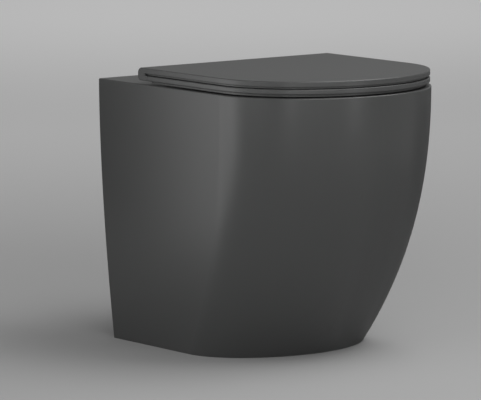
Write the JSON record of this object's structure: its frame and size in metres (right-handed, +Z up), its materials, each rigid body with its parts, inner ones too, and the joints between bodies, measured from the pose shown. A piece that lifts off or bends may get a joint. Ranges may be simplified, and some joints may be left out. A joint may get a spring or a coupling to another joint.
{
  "type": "floor-standing toilet",
  "caption": "Back-to-wall floor-standing toilet: dark matt skirted pan that tapers to the floor, with a slim soft-close seat and lid on lift-off hinges.",
  "frame": {"origin": "on the floor, in the middle of the pan's bounding box", "axes": "+Z up, +Y towards the wall behind the pan, -Y towards the person who uses it, +X to the right as seen from the front"},
  "size_m": [0.37, 0.455, 0.4296],
  "materials": {
    "china": "matt",
    "seat_resin": "satin",
    "rubber": "matt",
    "steel": "satin",
    "spring_steel": "satin",
    "zinced_steel": "satin",
    "hinge_plastic": "satin",
    "button_plastic": "satin",
    "damper_plastic": "satin",
    "nylon": "satin"
  },
  "bodies": {
    "pan": {"pan_shell": "china", "pan_bowl": "china", "pan_trapway": "china", "pan_flush_horn": "china", "hinge_post_left": "steel", "hinge_post_right": "steel", "hinge_base_discs": "steel", "fixing_plugs": "rubber", "fixing_washers": "zinced_steel", "fixing_nuts": "zinced_steel", "flush_inlet_seal": "rubber", "floor_bracket_left": "zinced_steel", "floor_bracket_right": "zinced_steel", "bracket_pads": "nylon", "clamp_screws": "zinced_steel", "clamp_locknuts": "zinced_steel"},
    "hinge_unit": {"hinge_block_left": "hinge_plastic", "hinge_block_right": "hinge_plastic", "lid_damper_shaft": "steel", "lid_hinge_pin": "steel", "seat_damper_shaft": "steel", "seat_hinge_pin": "steel", "retaining_clip_left": "spring_steel", "retaining_clip_right": "spring_steel"},
    "seat": {"seat_ring": "seat_resin", "seat_buffers": "rubber", "seat_damper": "damper_plastic", "seat_hinge_bush": "nylon", "seat_knuckle_caps": "hinge_plastic"},
    "lid": {"lid": "seat_resin", "lid_buffers": "rubber", "lid_damper": "damper_plastic", "lid_hinge_bush": "nylon", "lid_knuckle_caps": "hinge_plastic"},
    "release_left": {"release_button_left": "button_plastic"},
    "release_right": {"release_button_right": "button_plastic"}
  },
  "joints": [
    {"name": "seat_lift_off", "type": "slide", "parent": "pan", "child": "hinge_unit", "axis": [0, 0, 1], "range_m": [0, 0.045]},
    {"name": "seat_hinge", "type": "hinge", "parent": "hinge_unit", "child": "seat", "pos_m": [0, 0.118, 0.418], "axis": [-1, 0, 0], "range_deg": [0, 98]},
    {"name": "lid_hinge", "type": "hinge", "parent": "seat", "child": "lid", "pos_m": [0, 0.118, 0.418], "axis": [1, 0, 0], "range_deg": [-104, 0]},
    {"name": "release_left", "type": "slide", "parent": "hinge_unit", "child": "release_left", "axis": [0, 1, 0], "range_m": [0, 0.002], "stiffness_N_per_m": 1500, "springref_m": -0.0015, "deforming": ["retaining_clip_left"]},
    {"name": "release_right", "type": "slide", "parent": "hinge_unit", "child": "release_right", "axis": [0, 1, 0], "range_m": [0, 0.002], "stiffness_N_per_m": 1500, "springref_m": -0.0015, "deforming": ["retaining_clip_right"]}
  ]
}
